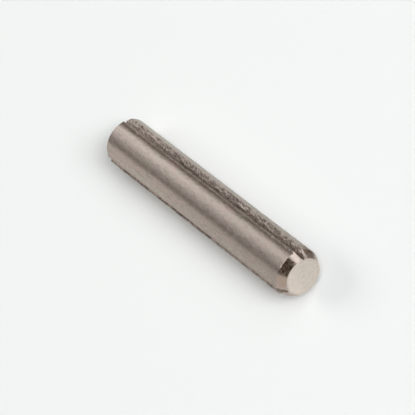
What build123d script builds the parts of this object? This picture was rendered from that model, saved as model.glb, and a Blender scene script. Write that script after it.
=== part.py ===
from build123d import *
from math import asin, degrees
import os

# Grooved drive pin: a solid pin that is driven into a plain drilled hole and holds there by
# itself. Three grooves are pressed along its whole length. The metal pushed out of each
# groove stands up on both sides of it as a narrow lip, and the lips grip the hole.
#
# The pin lies along X, with its leading end towards +X. It lies as it comes to rest on a
# table: one groove faces straight down, and the crests of that groove's two lips carry the
# pin at Z = 0 and keep it from rolling. Lengths are in millimetres.

# Shank
pin_diameter = 5.0
pin_length = 30.0

# Pressed grooves
groove_count = 3
groove_width = 1.08           # from the crest of one lip to the crest of the other
groove_depth = 0.65           # from the shank's surface to where the two sides would meet
groove_root_radius = 0.2

# Lips raised along both sides of a groove
lip_height = 0.16             # above the shank's surface
lip_width = 0.3               # along the surface, from the crest to where the lip runs out
lip_crest_radius = 0.05

# Leading end, a long chamfer that finds the hole
lead_length = 0.9
lead_reduction = 0.48         # taken off the radius at the end face

# Heel, the struck end, with a small chamfer at 45 degrees
heel_chamfer = 0.35

# Section, worked out from the sizes above
pin_radius = pin_diameter / 2
crest_radius = pin_radius + lip_height
root_distance = pin_radius - groove_depth
groove_pitch = 360 / groove_count
crest_angle = degrees(asin(groove_width / 2 / crest_radius))
foot_angle = crest_angle + degrees(lip_width / pin_radius)

# Turned outline, which runs on past the lips so that it cuts them as it cuts the shank
overrun = 2 * lip_height
lead_slope = lead_length / lead_reduction
heel_end = -pin_length / 2
lead_end = pin_length / 2

section_plane = Plane.YZ.offset(heel_end)
straight_down = 270


def section_point(distance, angle):
    """A point of the section, by its distance from the pin's axis and its angle from straight down."""
    return Vector(distance, 0).rotate(Axis.Z, straight_down + angle)


with BuildPart() as drive_pin:
    # Pressed section: stretches of the round shank, with two lips and a V between them
    with BuildSketch(section_plane) as section:
        with BuildLine():
            for number in range(groove_count):
                middle = number * groove_pitch
                root = section_point(root_distance, middle)
                for side in (-1, 1):
                    foot = section_point(pin_radius, middle + side * foot_angle)
                    along_shank = section_point(1, middle + side * (foot_angle - 90))
                    crest = section_point(crest_radius, middle + side * crest_angle)
                    TangentArc(foot, crest, tangent=along_shank)
                    Line(crest, root)
                next_foot = straight_down + middle + foot_angle
                CenterArc((0, 0), pin_radius, next_foot, groove_pitch - 2 * foot_angle)
        make_face()
        fillet(section.vertices().group_by(SortBy.DISTANCE)[0], groove_root_radius)
        fillet(section.vertices().group_by(SortBy.DISTANCE)[-1], lip_crest_radius)
    extrude(amount=pin_length)

    # Chamfered ends, turned through shank and lips alike
    with BuildSketch(Plane.XZ):
        with BuildLine():
            Polyline(
                (heel_end, 0),
                (heel_end, pin_radius - heel_chamfer),
                (heel_end + heel_chamfer + overrun, pin_radius + overrun),
                (lead_end - lead_length - overrun * lead_slope, pin_radius + overrun),
                (lead_end, pin_radius - lead_reduction),
                (lead_end, 0),
                close=True,
            )
        make_face()
    revolve(axis=Axis.X, mode=Mode.INTERSECT)

# The pin is raised from its axis until the two lowest lips stand on Z = 0
rest_height = -drive_pin.part.bounding_box().min.Z
resting_pin = drive_pin.part.moved(Location((0, 0, rest_height)))
resting_pin.label = "drive_pin"

os.makedirs("parts", exist_ok=True)
export_step(resting_pin, "parts/drive_pin.step")
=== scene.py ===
"""Grooved drive pin in plated steel: the dressed pin, its floor, its light and its camera."""
from math import atan2, cos, degrees, hypot, pi, radians, sin, sqrt, tan

import bmesh
import bpy
from mathutils import Matrix, Vector


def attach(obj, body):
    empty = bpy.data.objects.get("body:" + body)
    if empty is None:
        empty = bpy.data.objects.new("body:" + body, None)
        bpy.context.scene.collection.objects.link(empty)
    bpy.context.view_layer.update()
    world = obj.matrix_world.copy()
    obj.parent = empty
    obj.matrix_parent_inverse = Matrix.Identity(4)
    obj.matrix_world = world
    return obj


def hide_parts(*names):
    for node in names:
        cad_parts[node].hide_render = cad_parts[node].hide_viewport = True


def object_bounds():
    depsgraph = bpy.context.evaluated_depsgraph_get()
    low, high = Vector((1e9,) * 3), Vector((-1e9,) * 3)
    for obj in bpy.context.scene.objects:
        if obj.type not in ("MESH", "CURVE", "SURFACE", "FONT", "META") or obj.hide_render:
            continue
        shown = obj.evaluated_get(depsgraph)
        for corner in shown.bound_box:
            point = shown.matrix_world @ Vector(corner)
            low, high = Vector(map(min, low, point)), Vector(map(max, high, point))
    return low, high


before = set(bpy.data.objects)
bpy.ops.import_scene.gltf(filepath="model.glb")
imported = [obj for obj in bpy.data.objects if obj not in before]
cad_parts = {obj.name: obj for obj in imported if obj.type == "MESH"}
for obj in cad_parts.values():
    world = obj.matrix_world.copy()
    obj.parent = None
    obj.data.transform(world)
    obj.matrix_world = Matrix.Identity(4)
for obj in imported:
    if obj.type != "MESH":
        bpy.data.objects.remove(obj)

cad_low, cad_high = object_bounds()

MM = 0.001

# Sizes that the solid model has too. Angles round the pin are in degrees from +Y towards +Z
SHANK_RADIUS = 2.5 * MM
PIN_END = 15.0 * MM
AXIS_HEIGHT = cad_high.z - SHANK_RADIUS
GROOVE_PITCH = 120
FIRST_GROOVE = 270            # straight down

# Pressed groove and its two lips. These angles run from the groove's middle
GROOVE_APEX = 1.85 * MM       # from the axis to where the two sides would meet
GROOVE_SLOPE = 1.397          # rise of a side for each unit across
ROOT_RADIUS = 0.2 * MM
ROOT_ANGLE = 4.5              # to the end of the rounded root
CREST_ANGLE = 12
LIP_CREST = 2.615 * MM        # from the axis
LIP_FOOT_ANGLE = 14

# One groove is pressed less evenly: its upper lip leans into it, and its lower one stands higher
UNEVEN_GROOVE = 150
LEANING_FOOT = 136
LEANING_CREST = 138
LEAN = 3.5
HIGH_CREST = 162
HIGH_CREST_RISE = 0.017       # share of its distance from the axis
HIGH_FLANK_SHARE = 0.5        # of that rise, a degree to each side of the crest

# Ends: their flat faces, the slope of their chamfers off the axis and the rounding of edges
LEAD_FACE_RADIUS = 2.02 * MM
LEAD_ANGLE = radians(28.07)
HEEL_FACE_RADIUS = 2.15 * MM
HEEL_ANGLE = radians(45)
EDGE_ROUNDING = 0.045 * MM
GROOVE_END_ROUNDING = 0.8     # for each unit below the lips' crests
FACE_ROUNDING = 0.02 * MM
EDGE_LIMIT = 2.2              # a chamfer's length over the most that its outer rounding takes of it
FACE_LIMIT = 3                # the same for its inner rounding
END_STEP = 0.05 * MM
FACE_RINGS = (1.86 * MM, 1.5 * MM, 1.0 * MM, 0.5 * MM, 0.15 * MM)

# How the skin is divided. A column is a line of vertices along the pin, here a degree apart
BAR_SIDES = 120
LAST_COLUMN = 21              # degrees from a groove's middle, with the plain shank after it
HALF_COLUMN = 0.45            # degrees to each side of a column that still belong to it
HEEL_ZONE = -PIN_END + 0.9 * MM
LEAD_ZONE = PIN_END - 1.4 * MM
SHANK_CUTS = (19, 20)
LEAD_CUTS = 9
HEEL_CUTS = 6
LEAD_CUTS_END = PIN_END - 0.05 * MM     # the chamfers reach past these two and stay whole
HEEL_CUTS_END = -PIN_END + 0.02 * MM
SHORTEST_CUT = 0.1 * MM
GROOVED_RADIUS = 1.9 * MM     # the grooved surface lies outside it, and the faces' rings inside
SAME_PLACE = 1e-6             # metres
SAME_TURN = 0.1               # degrees


def between(value, low, high):
    return max(0.0, min(1.0, (value - low) / (high - low)))


def start_clean():
    """Nothing is selected or active when a new piece begins."""
    if bpy.context.object and bpy.context.object.mode != "OBJECT":
        bpy.ops.object.mode_set(mode="OBJECT")
    bpy.ops.object.select_all(action="DESELECT")


def round_the_pin(place):
    """Degrees round the pin's axis from +Y towards +Z."""
    return degrees(atan2(place.z - AXIS_HEIGHT, place.y)) % 360


def off_groove(place):
    """Degrees from the middle of the nearest groove."""
    half = GROOVE_PITCH / 2
    return abs((round_the_pin(place) - FIRST_GROOVE + half) % GROOVE_PITCH - half)


def beyond_crest(place):
    """Degrees from the nearest lip's crest, less than zero inside the groove."""
    turn = round_the_pin(place)
    if LEANING_FOOT < turn < UNEVEN_GROOVE:
        return LEANING_CREST + LEAN - turn
    return off_groove(place) - CREST_ANGLE


def from_axis(place):
    return hypot(place.y, place.z - AXIS_HEIGHT)


def pick(piece, kind, test):
    """Selects only the vertices, edges or faces that pass the test, and gives their numbers."""
    bpy.ops.mesh.select_mode(type=kind)
    mesh = bmesh.from_edit_mesh(piece.data)
    parts = {"VERT": mesh.verts, "EDGE": mesh.edges, "FACE": mesh.faces}[kind]
    parts.index_update()
    chosen = [part for part in parts if test(part)]
    bpy.ops.mesh.select_all(action="DESELECT")
    for part in chosen:
        part.select = True
    mesh.select_flush_mode()
    bmesh.update_edit_mesh(piece.data)
    return {part.index for part in chosen}


def picked(piece):
    """Numbers of the selected vertices."""
    mesh = bmesh.from_edit_mesh(piece.data)
    mesh.verts.index_update()
    return {v.index for v in mesh.verts if v.select}


def one_place(piece, numbers):
    """The place of the first of these vertices."""
    mesh = bmesh.from_edit_mesh(piece.data)
    mesh.verts.ensure_lookup_table()
    return mesh.verts[min(numbers)].co.copy()


def groove_radius(angle):
    """Distance of the surface from the axis, at an angle from a groove's middle."""
    if angle >= LIP_FOOT_ANGLE:
        return SHANK_RADIUS
    a = radians(angle)
    if angle < ROOT_ANGLE:
        root_centre = GROOVE_APEX + ROOT_RADIUS * sqrt(1 + GROOVE_SLOPE ** 2)
        return root_centre * cos(a) - sqrt(ROOT_RADIUS ** 2 - (root_centre * sin(a)) ** 2)
    side = GROOVE_APEX / (1 - GROOVE_SLOPE * tan(a)) / cos(a)
    rise = LIP_CREST - SHANK_RADIUS
    lip = SHANK_RADIUS + rise * (LIP_FOOT_ANGLE - angle) / (LIP_FOOT_ANGLE - CREST_ANGLE)
    return min(side, lip)


def shape_ring(piece, ring, goal):
    """Moves a ring's vertices, column by column, to the place along and off the axis that goal gives."""
    plain_middle = GROOVE_PITCH / 2
    columns = [(column, HALF_COLUMN) for column in range(LAST_COLUMN + 1)]
    columns.append((plain_middle, plain_middle - LAST_COLUMN - HALF_COLUMN))
    for column, reach in columns:
        numbers = pick(
            piece, "VERT", lambda v: v.index in ring and abs(off_groove(v.co) - column) < reach)
        place = one_place(piece, numbers)
        along, distance = goal(column)
        bpy.ops.transform.translate(value=(along - place.x, 0, 0))
        grow = distance / from_axis(place)
        bpy.ops.transform.resize(value=(1, grow, grow), center_override=(along, 0, AXIS_HEIGHT))


def next_ring(piece, ring, step):
    """Extrudes a ring by a step along the pin, and gives the new one."""
    pick(piece, "VERT", lambda v: v.index in ring)
    bpy.ops.mesh.extrude_region_move(TRANSFORM_OT_translate={"value": (step, 0, 0)})
    return picked(piece)


def end_profile(column, face_radius, slope, end, inward):
    """Four places on a column's way over an end: two round the chamfer's outer edge, two its inner."""
    distance = groove_radius(column)
    rounding = EDGE_ROUNDING
    if column < CREST_ANGLE:
        rounding = GROOVE_END_ROUNDING * (LIP_CREST - distance)
    small = FACE_ROUNDING
    if distance <= face_radius + small:
        return [
            (end + inward * 3 * small, distance),
            (end + inward * 2 * small, distance),
            (end + inward * small, distance),
            (end, distance - small),
        ]
    run = (distance - face_radius) / sin(slope)
    outer, inner = min(rounding, run / EDGE_LIMIT), min(small, run / FACE_LIMIT)
    corner = end + inward * run * cos(slope)
    return [
        (corner + inward * outer, distance),
        (corner - inward * outer * cos(slope), distance - outer * sin(slope)),
        (end + inward * inner * cos(slope), face_radius + inner * sin(slope)),
        (end, face_radius - inner),
    ]


def close_end(piece, ring, face_radius, slope, end, inward):
    """Carries a ring of the shank over the chamfer and closes the flat end."""
    for number in range(4):
        ring = next_ring(piece, ring, -inward * END_STEP)
        shape_ring(piece, ring, lambda column: end_profile(
            column, face_radius, slope, end, inward)[number])
    ring = next_ring(piece, ring, 0)
    shape_ring(piece, ring, lambda column: (end, FACE_RINGS[0]))
    for radius in FACE_RINGS[1:]:
        ring = next_ring(piece, ring, 0)
        grow = radius / from_axis(one_place(piece, ring))
        bpy.ops.transform.resize(value=(1, grow, grow), center_override=(end, 0, AXIS_HEIGHT))
    next_ring(piece, ring, 0)
    bpy.ops.mesh.merge(type="CENTER")


def cut_lengthwise(pin, low, high, cuts):
    """Cuts the edges that run along the pin between two places."""
    def runs_along(edge):
        a, b = (v.co for v in edge.verts)
        in_zone = min(a.x, b.x) > low - SAME_PLACE and max(a.x, b.x) < high + SAME_PLACE
        in_column = abs(off_groove(a) - off_groove(b)) < SAME_TURN
        return in_zone and in_column and edge.calc_length() > SHORTEST_CUT

    pick(pin, "EDGE", runs_along)
    bpy.ops.mesh.subdivide(number_cuts=cuts)


def pick_column(pin, column):
    """Selects the line of vertices along the pin at an angle round it."""
    pick(pin, "VERT", lambda v: (
        abs(round_the_pin(v.co) - column) < HALF_COLUMN and from_axis(v.co) > GROOVED_RADIUS))


def press_unevenly(pin):
    """Leans one lip a little into its groove, and raises the lip on the groove's other side."""
    for column in reversed(range(LEANING_FOOT, UNEVEN_GROOVE)):
        share = min(between(column, LEANING_FOOT, LEANING_CREST),
                    between(column, UNEVEN_GROOVE, LEANING_CREST + 1))
        pick_column(pin, column)
        bpy.ops.transform.rotate(
            value=-radians(LEAN * share), orient_axis="X", center_override=(0, 0, AXIS_HEIGHT))
    for step, share in ((-1, HIGH_FLANK_SHARE), (0, 1), (1, HIGH_FLANK_SHARE)):
        grow = 1 + HIGH_CREST_RISE * share
        pick_column(pin, HIGH_CREST + step)
        bpy.ops.transform.resize(value=(1, grow, grow), center_override=(0, 0, AXIS_HEIGHT))


def make_pin():
    """One closed skin: a round bar with its grooves pressed in, both ends turned, cut fine lengthwise."""
    start_clean()
    bpy.ops.mesh.primitive_circle_add(
        vertices=BAR_SIDES, radius=SHANK_RADIUS, location=(HEEL_ZONE, 0, AXIS_HEIGHT),
        rotation=(pi / 2, 0, pi / 2))
    pin = bpy.context.object
    pin.name = "drive_pin_skin"
    bpy.ops.object.transform_apply(location=True, rotation=True, scale=True)
    bpy.ops.object.mode_set(mode="EDIT")

    # A column at every degree where the grooves go
    pick(pin, "EDGE", lambda e: all(off_groove(v.co) < LAST_COLUMN + HALF_COLUMN for v in e.verts))
    bpy.ops.mesh.subdivide(number_cuts=2)
    heel_ring = pick(pin, "VERT", lambda v: True)
    shape_ring(pin, heel_ring, lambda column: (HEEL_ZONE, groove_radius(column)))

    # Shank, then the leading end, then the heel
    lead_ring = next_ring(pin, heel_ring, LEAD_ZONE - HEEL_ZONE)
    close_end(pin, lead_ring, LEAD_FACE_RADIUS, LEAD_ANGLE, PIN_END, -1)
    heel_ring = pick(pin, "VERT", lambda v: abs(v.co.x - HEEL_ZONE) < SAME_PLACE)
    close_end(pin, heel_ring, HEEL_FACE_RADIUS, HEEL_ANGLE, -PIN_END, 1)
    bpy.ops.mesh.select_all(action="SELECT")
    bpy.ops.mesh.remove_doubles(threshold=1e-7)
    bpy.ops.mesh.normals_make_consistent(inside=False)

    # Fine lengths for the tool marks and the ragged lips
    for cuts in SHANK_CUTS:
        cut_lengthwise(pin, HEEL_ZONE, LEAD_ZONE, cuts)
    cut_lengthwise(pin, LEAD_ZONE, LEAD_CUTS_END, LEAD_CUTS)
    cut_lengthwise(pin, HEEL_CUTS_END, HEEL_ZONE, HEEL_CUTS)
    press_unevenly(pin)
    bpy.ops.object.mode_set(mode="OBJECT")
    return pin


def weigh(piece, name, strength):
    """A vertex group whose weight at each vertex is what strength gives for its place."""
    group = piece.vertex_groups.new(name=name)
    for vertex in piece.data.vertices:
        amount = strength(vertex.co)
        if amount > 0:
            group.add([vertex.index], amount, "REPLACE")


def roughen(piece, group, size, height, stretch):
    """Pushes a group's surface in and out by a cloud pattern, drawn out along the pin."""
    texture = bpy.data.textures.new(group, "CLOUDS")
    texture.noise_scale = size
    texture.noise_depth = 3
    bpy.ops.object.empty_add(location=(0, 0, 0))
    ruler = bpy.context.object
    ruler.scale = (stretch, 1, 1)
    bpy.context.view_layer.update()
    bpy.ops.object.select_all(action="DESELECT")
    piece.select_set(True)
    bpy.context.view_layer.objects.active = piece
    bpy.ops.object.modifier_add(type="DISPLACE")
    push = piece.modifiers[-1]
    push.texture = texture
    push.texture_coords = "OBJECT"
    push.texture_coords_object = ruler
    push.vertex_group = group
    push.strength = height
    push.mid_level = 0.5
    bpy.ops.object.modifier_apply(modifier=push.name)
    bpy.data.objects.remove(ruler)
    bpy.data.textures.remove(texture)


def wear(pin):
    """Ragged lips and torn groove sides, fading out by degrees round the pin. The ends stay clean."""
    def on_shank(place):
        return abs(place.x) < PIN_END - 0.06 * MM and from_axis(place) > GROOVED_RADIUS

    def on_lip(place):
        beyond = beyond_crest(place)
        return between(beyond, -3, -0.5) * between(beyond, 4, 1.5) if on_shank(place) else 0

    def in_groove(place):
        return between(off_groove(place), 12.5, 10) if on_shank(place) else 0

    weigh(pin, "lips", on_lip)
    weigh(pin, "groove sides", in_groove)
    roughen(pin, "lips", 0.5 * MM, 0.07 * MM, 2.0)
    roughen(pin, "lips", 0.16 * MM, 0.05 * MM, 1.2)
    roughen(pin, "groove sides", 0.14 * MM, 0.07 * MM, 1.0)
    pin.vertex_groups.clear()


# Colours of the metal
STEEL = (0.70, 0.6, 0.532, 1)
ROSY_STEEL = (0.735, 0.583, 0.542, 1)
STRAW_STEEL = (0.69, 0.625, 0.505, 1)
WORN_STEEL = (0.42, 0.36, 0.32, 1)
# Painted highlight for the crests of the lips in view
CREST_HIGHLIGHT_STEEL = (0.97, 0.88, 0.82, 1)
FLECK = (0.34, 0.285, 0.25, 1)
# Painted shade for the grooves' roots and lower edge, and the colour of their stains
GROOVE_SHADE_AND_STAIN = (0.2, 0.155, 0.13, 1)
FACE_STEEL = (0.67, 0.585, 0.518, 1)
BRIGHT_FACE_STEEL = (0.77, 0.68, 0.61, 1)
POCK = (0.25, 0.195, 0.16, 1)


def node(tree, kind, **settings):
    made = tree.nodes.new(kind)
    for key, value in settings.items():
        setattr(made, key, value)
    return made


def feed(tree, target, value):
    """Links a socket, or sets a plain value."""
    if isinstance(value, bpy.types.NodeSocket):
        tree.links.new(value, target)
    elif value is not None:
        target.default_value = value


def maths(tree, operation, a, b=None, c=None, clamp=False):
    made = node(tree, "ShaderNodeMath", operation=operation, use_clamp=clamp)
    for socket, value in zip(made.inputs, (a, b, c)):
        feed(tree, socket, value)
    return made.outputs[0]


def times(tree, a, b):
    return maths(tree, "MULTIPLY", a, b)


def ramp(tree, value, low, high, out_low=0.0, out_high=1.0):
    """A smooth step from one level to another."""
    made = node(tree, "ShaderNodeMapRange", interpolation_type="SMOOTHSTEP")
    for socket, number in zip(made.inputs, (value, low, high, out_low, out_high)):
        feed(tree, socket, number)
    return made.outputs[0]


def noise(tree, vector, scale, detail, rough=0.6):
    made = node(tree, "ShaderNodeTexNoise")
    feed(tree, made.inputs["Vector"], vector)
    made.inputs["Scale"].default_value = scale
    made.inputs["Detail"].default_value = detail
    made.inputs["Roughness"].default_value = rough
    return made.outputs[0]


def stretched(tree, vector, along, across=1.0):
    """Coordinates squeezed along the pin, so that a pattern runs lengthwise."""
    made = node(tree, "ShaderNodeMapping", vector_type="POINT")
    feed(tree, made.inputs["Vector"], vector)
    made.inputs["Scale"].default_value = (along, across, across)
    return made.outputs[0]


def split(tree, vector):
    """A place's or a direction's three parts."""
    made = node(tree, "ShaderNodeSeparateXYZ")
    feed(tree, made.inputs[0], vector)
    return made.outputs


def mix_colour(tree, amount, first, second):
    made = node(tree, "ShaderNodeMix", data_type="RGBA")
    feed(tree, made.inputs[0], amount)
    feed(tree, made.inputs[6], first)
    feed(tree, made.inputs[7], second)
    return made.outputs[2]


def off_axis(tree, place):
    """Distance from the pin's axis, as a value over the surface."""
    parts = split(tree, place)
    height = maths(tree, "SUBTRACT", parts[2], AXIS_HEIGHT)
    squares = maths(tree, "ADD", times(tree, height, height), times(tree, parts[1], parts[1]))
    return maths(tree, "SQRT", squares)


def bump(tree, height, strength, distance, below=None):
    made = node(tree, "ShaderNodeBump")
    made.inputs["Strength"].default_value = strength
    made.inputs["Distance"].default_value = distance
    feed(tree, made.inputs["Height"], height)
    if below is not None:
        feed(tree, made.inputs["Normal"], below)
    return made.outputs[0]


def make_plating_tint():
    """Plated steel's colour, which drifts a little between rosy and straw in soft patches."""
    tree = bpy.data.node_groups.new("plating tint", "ShaderNodeTree")
    for label, kind in (("Place", "NodeSocketVector"), ("Amount", "NodeSocketFloat")):
        tree.interface.new_socket(label, in_out="INPUT", socket_type=kind)
    tree.interface.new_socket("Colour", in_out="OUTPUT", socket_type="NodeSocketColor")
    given = node(tree, "NodeGroupInput").outputs
    place, amount = given["Place"], given["Amount"]
    rosy = ramp(tree, noise(tree, place, 900, 2, 0.55), 0.5, 0.68)
    straw = ramp(tree, noise(tree, stretched(tree, place, 0.8, 1.3), 700, 2, 0.55), 0.52, 0.7)
    colour = mix_colour(tree, times(tree, rosy, amount), STEEL, ROSY_STEEL)
    colour = mix_colour(tree, times(tree, straw, amount), colour, STRAW_STEEL)
    feed(tree, node(tree, "NodeGroupOutput").inputs["Colour"], colour)
    return tree


def tinted(tree, plating_tint, place, amount):
    """The plating's colour at a place, with this much of its drift."""
    made = node(tree, "ShaderNodeGroup", node_tree=plating_tint)
    feed(tree, made.inputs["Place"], place)
    feed(tree, made.inputs["Amount"], amount)
    return made.outputs["Colour"]


def new_material(name, metallic=1.0):
    material = bpy.data.materials.new(name)
    material.use_nodes = True
    tree = material.node_tree
    shader = tree.nodes["Principled BSDF"]
    shader.inputs["Metallic"].default_value = metallic
    place = node(tree, "ShaderNodeTexCoord").outputs["Object"]
    return material, tree, shader.inputs, place


def drawn_steel(plating_tint):
    """The shank: drawn lengthwise, with faint streaks, soft marks and scuffs."""
    material, tree, surface, place = new_material("drawn plated steel")
    along, across, _ = split(tree, place)
    streaks = noise(tree, stretched(tree, place, 0.08), 9000, 4)
    mottle = noise(tree, stretched(tree, place, 0.6), 2800, 3)
    broad = noise(tree, stretched(tree, place, 0.4), 900, 2, 0.55)
    scuffs = noise(tree, stretched(tree, place, 0.35), 3600, 3)

    # Darker towards the leading end, and in mottled patches and scuffs
    worn = maths(tree, "ADD", ramp(tree, mottle, 0.35, 0.65, 0.16, 0.0),
                 ramp(tree, along, -PIN_END, PIN_END, -0.08, 0.26), clamp=True)
    worn = maths(tree, "ADD", worn, ramp(tree, scuffs, 0.5, 0.68, 0.0, 0.34), clamp=True)
    colour = mix_colour(tree, worn, tinted(tree, plating_tint, place, 0.8), WORN_STEEL)

    # Painted highlight along the crests of the lips of the groove in view
    crest_highlight = times(tree, ramp(tree, off_axis(tree, place), 2.56 * MM, 2.61 * MM, 0.0, 0.9),
                    ramp(tree, across, -0.5 * MM, 0.5 * MM))
    feed(tree, surface["Base Color"], mix_colour(tree, crest_highlight, colour, CREST_HIGHLIGHT_STEEL))
    feed(tree, surface["Roughness"], maths(
        tree, "ADD", ramp(tree, along, -PIN_END, PIN_END, 0.19, 0.27),
        ramp(tree, mottle, 0.3, 0.7, -0.04, 0.05)))
    waves = bump(tree, broad, 1.0, 0.028 * MM)
    marks = bump(tree, mottle, 1.0, 0.012 * MM, waves)
    feed(tree, surface["Normal"], bump(tree, streaks, 0.5, 0.0016 * MM, marks))
    return material


def pressed_steel(plating_tint):
    """The grooves' sides: torn and rough, with dark flecks, large stains, and painted shade along the roots
    and at the view's lower edge.
    """
    material, tree, surface, place = new_material("pressed groove steel")
    along, across, _ = split(tree, place)
    grain = noise(tree, place, 9000, 4, 0.65)
    tears = noise(tree, stretched(tree, place, 0.7), 2600, 3)
    flecks = ramp(tree, noise(tree, stretched(tree, place, 0.6), 4200, 3), 0.43, 0.6)
    flecks = times(tree, flecks, ramp(tree, along, -13 * MM, -3 * MM, 0.5, 1.0))
    flecked = mix_colour(tree, flecks, tinted(tree, plating_tint, place, 0.5), FLECK)

    # Painted shade along the roots, and in broken stretches where the groove is at the view's lower edge;
    # and dark in large stains
    root = times(tree, ramp(tree, off_axis(tree, place), 2.05 * MM, 2.3 * MM, 1.0, 0.0),
                 ramp(tree, along, -12 * MM, -4 * MM, 0.6, 0.95))
    broken = ramp(tree, noise(tree, stretched(tree, place, 0.5), 2200, 3), 0.4, 0.6, 0.05, 0.75)
    lower_edge_shade = times(tree, broken, ramp(tree, across, -1.9 * MM, -2.3 * MM))
    lower_edge_shade = times(tree, lower_edge_shade, ramp(tree, along, -2 * MM, 9 * MM, 1.0, 0.45))
    stains = noise(tree, stretched(tree, place, 0.7), 420, 2, 0.55)
    dark = maths(tree, "MAXIMUM", root, lower_edge_shade)
    dark = maths(tree, "MAXIMUM", dark, ramp(tree, stains, 0.5, 0.66, 0.0, 0.4))
    feed(tree, surface["Base Color"], mix_colour(tree, dark, flecked, GROOVE_SHADE_AND_STAIN))
    feed(tree, surface["Roughness"], ramp(tree, grain, 0.3, 0.7, 0.2, 0.38))
    torn = bump(tree, tears, 1.0, 0.09 * MM)
    feed(tree, surface["Normal"], bump(tree, grain, 0.8, 0.02 * MM, torn))
    return material


def turned_steel(plating_tint):
    """The ends: flat faces turned in faint rings round the axis, and pocked chamfers."""
    material, tree, surface, place = new_material("turned plated steel")
    across = split(tree, place)[1]
    radius = node(tree, "ShaderNodeCombineXYZ")
    feed(tree, radius.inputs[0], off_axis(tree, place))
    rings = noise(tree, radius.outputs[0], 12000, 3)
    broad_rings = noise(tree, radius.outputs[0], 3600, 2, 0.5)
    mottle = noise(tree, place, 2400, 3)
    pits = noise(tree, place, 3800, 3, 0.65)

    flat = ramp(tree, off_axis(tree, place), LEAD_FACE_RADIUS + 0.01 * MM, LEAD_FACE_RADIUS - 0.01 * MM)
    off_flat = maths(tree, "SUBTRACT", 1.0, flat)
    ringed = maths(tree, "ADD", times(tree, mottle, 0.45), times(tree, broad_rings, 0.55))
    face = mix_colour(tree, ramp(tree, ringed, 0.38, 0.62), FACE_STEEL, BRIGHT_FACE_STEEL)

    # Dark pocks on top of the chamfer and on its side beyond the groove in view
    pocked = times(tree, ramp(tree, across, 1.3 * MM, 1.1 * MM), ramp(tree, across, -0.6 * MM, -0.2 * MM))
    pocked = maths(tree, "MAXIMUM", pocked, ramp(tree, across, 2.08 * MM, 2.3 * MM, 0.0, 0.85))
    pocks = times(tree, ramp(tree, pits, 0.4, 0.58), pocked)
    chamfer = mix_colour(tree, pocks, tinted(tree, plating_tint, place, 0.6), POCK)
    feed(tree, surface["Base Color"], mix_colour(tree, flat, chamfer, face))
    feed(tree, surface["Roughness"], times(
        tree, ramp(tree, rings, 0.3, 0.7, 0.17, 0.25), ramp(tree, flat, 0.0, 1.0, 0.8, 1.0)))
    pitted = bump(tree, times(tree, pits, off_flat), 1.0, 0.018 * MM)
    feed(tree, surface["Normal"], bump(tree, rings, 0.16, 0.004 * MM, pitted))
    return material


def dress(pin):
    """Gives the shank, the grooves inside the lips and the two ends their finishes."""
    plating_tint = make_plating_tint()
    for finish in (drawn_steel, pressed_steel, turned_steel):
        pin.data.materials.append(finish(plating_tint))

    def give(number, test):
        pick(pin, "FACE", test)
        pin.active_material_index = number
        bpy.ops.object.material_slot_assign()

    def on_end(face):
        return abs(face.normal.x) > 0.15 and abs(face.calc_center_median().x) > LEAD_ZONE

    bpy.ops.object.mode_set(mode="EDIT")
    give(1, lambda face: beyond_crest(face.calc_center_median()) < -0.3)
    give(2, on_end)
    bpy.ops.object.mode_set(mode="OBJECT")


pin = make_pin()
wear(pin)
bpy.ops.object.shade_smooth_by_angle(angle=radians(32))
dress(pin)
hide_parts("drive_pin")
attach(pin, "root")


# The view of a pin with a groove straight up. Its lengths are in units of the shank's radius
VIEW_ELEVATION = radians(32.9)
VIEW_AZIMUTH = radians(53.08)
VIEW_ROLL = radians(1.92)
VIEW_DISTANCE = 131.13
VIEW_OFFSET = (-0.15, 0.774)
VIEW_LENS = 286.3

# The pin lies on the two lips of a groove, so the view goes round its axis with it by this much
LYING_TURN = radians(60)


def make_camera():
    side = Vector((cos(VIEW_AZIMUTH), sin(VIEW_AZIMUTH), 0))
    away = Vector((-sin(VIEW_AZIMUTH), cos(VIEW_AZIMUTH), 0))
    back = -away * cos(VIEW_ELEVATION) + Vector((0, 0, sin(VIEW_ELEVATION)))
    rise = away * sin(VIEW_ELEVATION) + Vector((0, 0, cos(VIEW_ELEVATION)))
    right = side * cos(VIEW_ROLL) + rise * sin(VIEW_ROLL)
    up = rise * cos(VIEW_ROLL) - side * sin(VIEW_ROLL)
    place = side * VIEW_OFFSET[0] + rise * VIEW_OFFSET[1] + back * VIEW_DISTANCE - Vector((0, 0, 1))
    turn = Matrix.Rotation(-LYING_TURN, 3, "X")
    frame_of_view = Matrix([turn @ axis for axis in (right, up, back)]).transposed().to_4x4()
    frame_of_view.translation = turn @ (place * SHANK_RADIUS) + Vector((0, 0, AXIS_HEIGHT))
    data = bpy.data.cameras.new("camera")
    data.lens = VIEW_LENS
    data.sensor_width = 36
    data.clip_start, data.clip_end = 0.01, 10
    camera = bpy.data.objects.new("camera", data)
    bpy.context.collection.objects.link(camera)
    camera.matrix_world = frame_of_view
    bpy.context.scene.camera = camera


FLOOR_COLOUR = (0.896, 0.912, 0.9, 1)
# Painted shade that only the metal's reflections show, laid on the floor
GREY_MIRRORED_SHADE = (0.55, 0.565, 0.55, 1)
DARK_MIRRORED_SHADE = (0.24, 0.21, 0.185, 1)
TIP_MIRRORED_SHADE = (0.57, 0.56, 0.545, 1)


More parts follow.
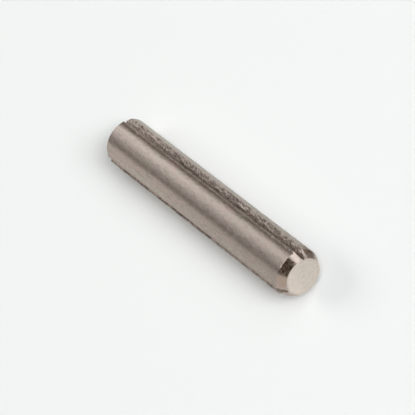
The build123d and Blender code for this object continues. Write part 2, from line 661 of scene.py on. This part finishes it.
def make_floor():
    start_clean()
    bpy.ops.mesh.primitive_plane_add(size=1.2, location=(0, 0, 0))
    floor = bpy.context.object
    floor.name = "floor"
    material, tree, surface, place = new_material("pale floor", metallic=0.0)
    surface["Roughness"].default_value = 0.9
    surface["Specular IOR Level"].default_value = 0.0

    # Painted shade that only the metal's reflections show: for glossy rays the floor is grey along both
    # sides of the pin, dark further out beyond it and beside its leading end, and browner on that end's
    # near side
    along, across, _ = split(tree, place)
    beyond = ramp(tree, across, 1.7 * MM, 2.7 * MM)
    in_front = ramp(tree, across, -5 * MM, -9 * MM)
    lead_end = ramp(tree, along, 10.4 * MM, 11.4 * MM)
    beside = times(tree, ramp(tree, across, 2.9 * MM, 3.6 * MM), ramp(tree, across, 8.9 * MM, 8.3 * MM))
    further = times(tree, ramp(tree, across, 6.5 * MM, 10 * MM), maths(tree, "SUBTRACT", 1.0, lead_end))
    dark = maths(tree, "ADD", times(tree, lead_end, beside), further)
    at_tip = times(tree, ramp(tree, along, 10 * MM, 11.5 * MM), ramp(tree, across, -2.6 * MM, -3.6 * MM))
    mirrored_shade = FLOOR_COLOUR
    for amount, shade_colour in ((beyond, GREY_MIRRORED_SHADE), (in_front, GREY_MIRRORED_SHADE), (dark, DARK_MIRRORED_SHADE), (at_tip, TIP_MIRRORED_SHADE)):
        mirrored_shade = mix_colour(tree, amount, mirrored_shade, shade_colour)
    rays = node(tree, "ShaderNodeLightPath").outputs
    feed(tree, surface["Base Color"], mix_colour(tree, rays["Is Glossy Ray"], FLOOR_COLOUR, mirrored_shade))
    floor.data.materials.append(material)


# Lamps: name, direction from the pin, size in metres, watts and colour
COOL = (0.98, 1.0, 1.02)
WARM = (1.06, 1.0, 0.94)
LAMP_DISTANCE = 3.0
LAMPS = (
    ("key lamp", (0.731, 0.392, 0.558), (1.06, 1.33), 75, COOL),
    ("second key lamp", (0.598, 0.228, 0.768), (0.99, 1.71), 23.5, COOL),
    ("far side lamp", (0.254, 0.543, 0.801), (1.86, 3.32), 29, COOL),
    ("heel side lamp", (-0.77, -0.2, 0.606), (1.4, 1.4), 22.5, WARM),
)


def make_lamp(name, towards, size, power, colour):
    """A soft lamp that lights the floor and isn't mirrored in the metal."""
    data = bpy.data.lights.new(name, "AREA")
    data.shape = "RECTANGLE"
    data.size, data.size_y = size
    data.energy = power
    data.color = colour
    lamp = bpy.data.objects.new(name, data)
    bpy.context.collection.objects.link(lamp)
    towards = Vector(towards).normalized()
    lamp.location = towards * LAMP_DISTANCE
    lamp.rotation_mode = "QUATERNION"
    lamp.rotation_quaternion = towards.to_track_quat("Z", "Y")
    lamp.visible_glossy = False
    lamp.visible_camera = False


# What the metal mirrors, as (degrees, level) round the pin's axis: 0 is level and in front, 90 is
# straight above the groove in view, 180 is level and beyond. The left part is on the heel's side
LEFT_SKY = (
    (0, .22), (7, .26), (27, .42), (37, .52), (47, .645), (60, .77), (74, .84), (84, .6), (89, .37),
    (94, .19), (103, .145), (120, .16), (167, .63), (180, .8), (183, .53), (335, .53), (343, .48),
    (350, .34), (355, .23))
RIGHT_SKY = (
    (0, .16), (10, .14), (40, .11), (75, .14), (79, 1.1), (110, 1.1), (125, .5), (180, .6), (183, .48),
    (348, .475), (353, .41), (358, .2))
GROUND_FROM = 183             # degrees
LEFT_GROUND_WARMTH = 0.02
RIGHT_GROUND_WARMTH = 0.09
DARK_SKY_WARMTH = 0.2
SKY_STRENGTH = 2.0            # the stops hold this much less, because a colour stop ends at 1
SOFT_BOX = (1.1, 1.1, 1.1, 1)  # in the left sky, 22 to 66 degrees up

# Light of the world on the floor, straight and by way of the metal
FILL_COLOUR, FILL_STRENGTH = (1.3, 1.0, 0.7, 1), 0.022
GLOW_COLOUR, GLOW_STRENGTH = (1.0, 0.6, 0.36, 1), 0.2


def sky(tree, turn, stops, ground_warmth):
    """Levels round the axis as a colour, a little warm where the sky is dark."""
    made = node(tree, "ShaderNodeValToRGB")
    feed(tree, made.inputs[0], turn)
    bar = made.color_ramp
    while len(bar.elements) > 1:
        bar.elements.remove(bar.elements[-1])
    for number, (angle, level) in enumerate(stops):
        stop = bar.elements[0] if number == 0 else bar.elements.new(angle / 360)
        stop.position = angle / 360
        warmth = DARK_SKY_WARMTH * between(level, 0.3, 0.1) if angle < GROUND_FROM else ground_warmth
        share = level / SKY_STRENGTH
        stop.color = (share * (1 + warmth), share, share * (1 - warmth), 1)
    return made.outputs[0]


def background(tree, colour, strength):
    made = node(tree, "ShaderNodeBackground")
    feed(tree, made.inputs["Color"], colour)
    made.inputs["Strength"].default_value = strength
    return made.outputs[0]


def choose(tree, amount, first, second):
    """The first shader where the amount is 0, and the second where it is 1."""
    made = node(tree, "ShaderNodeMixShader")
    for socket, value in zip(made.inputs, (amount, first, second)):
        feed(tree, socket, value)
    return made.outputs[0]


def make_surroundings():
    """A studio that only the metal mirrors, turned with the pin, over a plain and faint fill light."""
    world = bpy.data.worlds.new("studio")
    bpy.context.scene.world = world
    world.use_nodes = True
    tree = world.node_tree
    for old in list(tree.nodes):
        tree.nodes.remove(old)
    turned = node(tree, "ShaderNodeVectorRotate", rotation_type="X_AXIS")
    feed(tree, turned.inputs["Vector"], node(tree, "ShaderNodeTexCoord").outputs["Generated"])
    turned.inputs["Angle"].default_value = LYING_TURN
    along, across, up = split(tree, turned.outputs[0])
    climb = maths(tree, "ARCTAN2", up, times(tree, across, -1))
    turn = maths(tree, "WRAP", maths(tree, "DIVIDE", climb, 2 * pi), 1.0, 0.0)

    # The two parts of the sky, and a soft box in the left one
    left = sky(tree, turn, LEFT_SKY, LEFT_GROUND_WARMTH)
    right = sky(tree, turn, RIGHT_SKY, RIGHT_GROUND_WARMTH)
    level = mix_colour(tree, ramp(tree, along, -0.35, -0.05), left, right)
    box = times(tree, ramp(tree, along, -0.44, -0.36), ramp(tree, along, -0.1, -0.18))
    box = times(tree, box, ramp(tree, turn, 22 / 360, 30 / 360))
    box = times(tree, box, ramp(tree, turn, 66 / 360, 56 / 360))
    mirrored = background(tree, mix_colour(tree, box, level, SOFT_BOX), SKY_STRENGTH)

    # The floor gets a glow by way of the metal and not the sky that the metal shows the camera
    rays = node(tree, "ShaderNodeLightPath").outputs
    glow = background(tree, GLOW_COLOUR, GLOW_STRENGTH)
    fill = background(tree, FILL_COLOUR, FILL_STRENGTH)
    backdrop = background(tree, FLOOR_COLOUR, 1.0)
    lit_floor = maths(tree, "GREATER_THAN", rays["Diffuse Depth"], 0.5)
    by_metal = choose(tree, lit_floor, mirrored, glow)
    light = choose(tree, rays["Is Glossy Ray"], fill, by_metal)
    shown = choose(tree, rays["Is Camera Ray"], light, backdrop)
    feed(tree, node(tree, "ShaderNodeOutputWorld").inputs["Surface"], shown)


make_camera()
make_floor()
for lamp in LAMPS:
    make_lamp(*lamp)
make_surroundings()
bpy.context.scene.view_settings.view_transform = "Standard"
